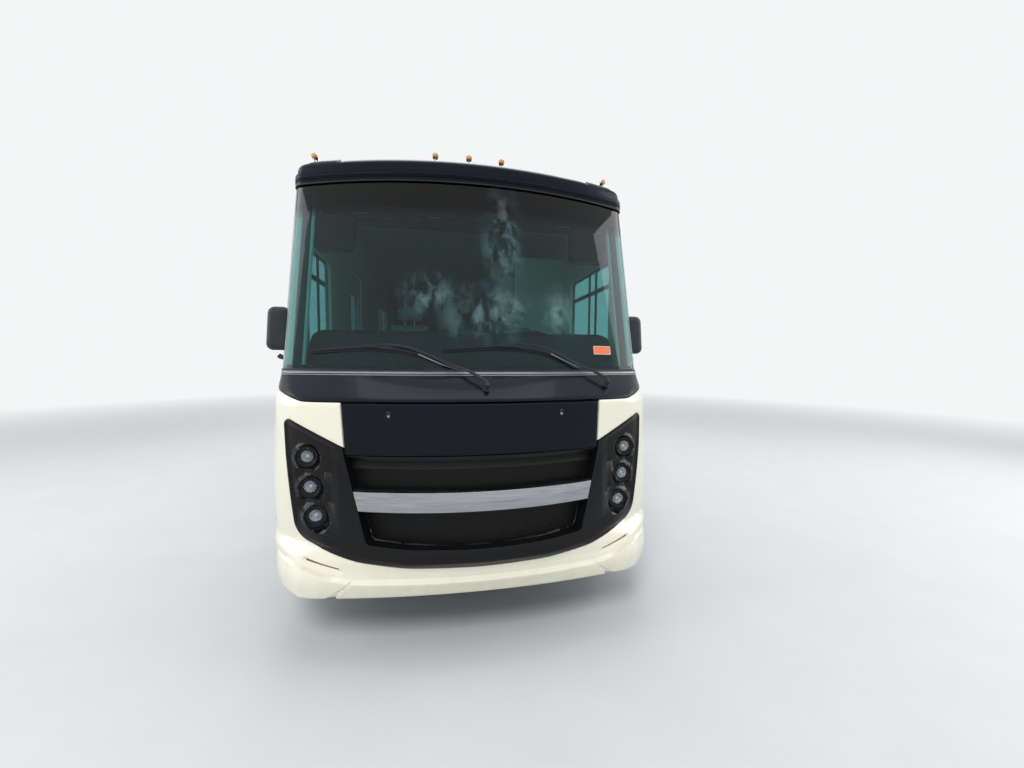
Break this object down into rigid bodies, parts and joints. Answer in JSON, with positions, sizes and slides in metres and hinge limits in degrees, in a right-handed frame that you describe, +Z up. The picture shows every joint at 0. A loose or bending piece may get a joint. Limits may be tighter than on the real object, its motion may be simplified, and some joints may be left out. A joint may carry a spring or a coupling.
{
  "type": "motorhome",
  "caption": "Bus-fronted motorhome body on a rail chassis, with steered front wheels, twin rear wheels, entry door, luggage bays and a slide-out room.",
  "frame": {"origin": "on the ground under the middle of the vehicle's box", "axes": "+X to the vehicle's left side, +Y from the nose to the tail, +Z up"},
  "size_m": [3.0186, 9.5, 3.6302],
  "materials": {
    "ivory_paint": "gloss ivory gelcoat",
    "dark_paint": "gloss dark blue-black paint",
    "gloss_black": "gloss black moulding",
    "satin_black": "satin black mesh",
    "matte_black": "grained black plastic",
    "bright_trim": "bright plated trim",
    "lamp_glass": "clear lamp lens",
    "amber_lens": "amber lens",
    "red_lens": "red lens",
    "tinted_glass": "green tinted glass",
    "roof_skin": "white roof skin",
    "roof_plastic": "white moulded cover",
    "deck_board": "sealed board",
    "bay_liner": "moulded bay liner",
    "chassis_steel": "black chassis paint",
    "cast_grey": "cast iron",
    "tank_plastic": "black moulded tank",
    "tyre_rubber": "black rubber",
    "wheel_metal": "polished",
    "dash_vinyl": "grained dark vinyl",
    "seat_leather": "soft grained leather",
    "cabinet_wood": "glazed cherry",
    "bare_aluminium": "satin"
  },
  "bodies": {
    "coach": {"front_bumper": "ivory_paint", "front_mask": "ivory_paint", "cowl": "dark_paint", "lamp_surround": "gloss_black", "grille_mesh": "satin_black", "grille_bar": "bright_trim", "headlamps": "lamp_glass", "windshield": "tinted_glass", "brow": "dark_paint", "sidewall_left": "ivory_paint", "sidewall_right": "ivory_paint", "side_glass": "tinted_glass", "rear_wall": "ivory_paint", "roof": "roof_skin", "floor": "deck_board", "floor_bearers": "chassis_steel", "wheel_housings": "bay_liner", "baggage_bays": "bay_liner", "chassis_frame": "chassis_steel", "driveline": "cast_grey", "radiator": "satin_black", "fuel_tank": "tank_plastic", "front_axle": "chassis_steel", "rear_axle": "chassis_steel", "step_well": "deck_board", "dashboard": "dash_vinyl", "steering_wheel": "dash_vinyl", "seat_pedestals": "chassis_steel", "seats": "seat_leather", "interior_cabinets": "cabinet_wood", "mirrors": "matte_black", "wipers": "matte_black", "clearance_lamps": "bright_trim", "side_markers": "amber_lens", "roof_units": "roof_plastic", "tail_lamps": "red_lens", "ladder": "bare_aluminium", "rear_bumper": "ivory_paint", "awning": "dark_paint"},
    "hood": {"hood_panel": "gloss_black"},
    "door": {"entry_door": "ivory_paint", "entry_door_glass": "tinted_glass"},
    "step": {"entry_step": "chassis_steel"},
    "slideout": {"slideout_room": "ivory_paint", "slideout_glass": "tinted_glass"},
    "bay_door_left_front": {"baggage_door_left_front": "ivory_paint"},
    "bay_door_left_rear": {"baggage_door_left_rear": "ivory_paint"},
    "bay_door_right_front": {"baggage_door_right_front": "ivory_paint"},
    "bay_door_right_rear": {"baggage_door_right_rear": "ivory_paint"},
    "steering_left": {"knuckle_left": "cast_grey"},
    "steering_right": {"knuckle_right": "cast_grey"},
    "wheel_front_left": {"tyre_front_left": "tyre_rubber", "rim_front_left": "wheel_metal"},
    "wheel_front_right": {"tyre_front_right": "tyre_rubber", "rim_front_right": "wheel_metal"},
    "wheels_rear_left": {"tyres_rear_left": "tyre_rubber", "rims_rear_left": "wheel_metal"},
    "wheels_rear_right": {"tyres_rear_right": "tyre_rubber", "rims_rear_right": "wheel_metal"}
  },
  "joints": [
    {"name": "hood_lift", "type": "hinge", "parent": "coach", "child": "hood", "pos_m": [0, -4.614, 1.455], "axis": [-1, 0, 0], "range_deg": [0, 75]},
    {"name": "entry_door_swing", "type": "hinge", "parent": "coach", "child": "door", "pos_m": [-1.29, -2.2997, 1.67], "axis": [0, 0, 1], "range_deg": [0, 90]},
    {"name": "step_slide", "type": "slide", "parent": "coach", "child": "step", "axis": [-1, 0, 0], "range_m": [0, 0.26]},
    {"name": "slideout_slide", "type": "slide", "parent": "coach", "child": "slideout", "axis": [1, 0, 0], "range_m": [0, 0.58]},
    {"name": "bay_door_left_front_lift", "type": "hinge", "parent": "coach", "child": "bay_door_left_front", "pos_m": [1.29, -0.7, 0.9847], "axis": [0, -1, 0], "range_deg": [0, 90]},
    {"name": "bay_door_left_rear_lift", "type": "hinge", "parent": "coach", "child": "bay_door_left_rear", "pos_m": [1.29, 3.05, 0.9847], "axis": [0, -1, 0], "range_deg": [0, 90]},
    {"name": "bay_door_right_front_lift", "type": "hinge", "parent": "coach", "child": "bay_door_right_front", "pos_m": [-1.29, -0.35, 0.9847], "axis": [0, 1, 0], "range_deg": [0, 90]},
    {"name": "bay_door_right_rear_lift", "type": "hinge", "parent": "coach", "child": "bay_door_right_rear", "pos_m": [-1.29, 3.05, 0.9847], "axis": [0, 1, 0], "range_deg": [0, 90]},
    {"name": "steer_left", "type": "hinge", "parent": "coach", "child": "steering_left", "pos_m": [0.89, -3.55, 0.42], "axis": [0, 0, 1], "range_deg": [-35, 35]},
    {"name": "steer_right", "type": "hinge", "parent": "coach", "child": "steering_right", "pos_m": [-0.89, -3.55, 0.42], "axis": [0, 0, 1], "range_deg": [-35, 35]},
    {"name": "spin_front_left", "type": "hinge", "parent": "steering_left", "child": "wheel_front_left", "pos_m": [1.01, -3.55, 0.42], "axis": [1, 0, 0], "continuous": true},
    {"name": "spin_front_right", "type": "hinge", "parent": "steering_right", "child": "wheel_front_right", "pos_m": [-1.01, -3.55, 0.42], "axis": [1, 0, 0], "continuous": true},
    {"name": "spin_rear_left", "type": "hinge", "parent": "coach", "child": "wheels_rear_left", "pos_m": [0.94, 1.733, 0.42], "axis": [1, 0, 0], "continuous": true},
    {"name": "spin_rear_right", "type": "hinge", "parent": "coach", "child": "wheels_rear_right", "pos_m": [-0.94, 1.733, 0.42], "axis": [1, 0, 0], "continuous": true}
  ],
  "couplings": [
    {"joint": "steer_right", "follows": "steer_left", "ratio": 1}
  ]
}
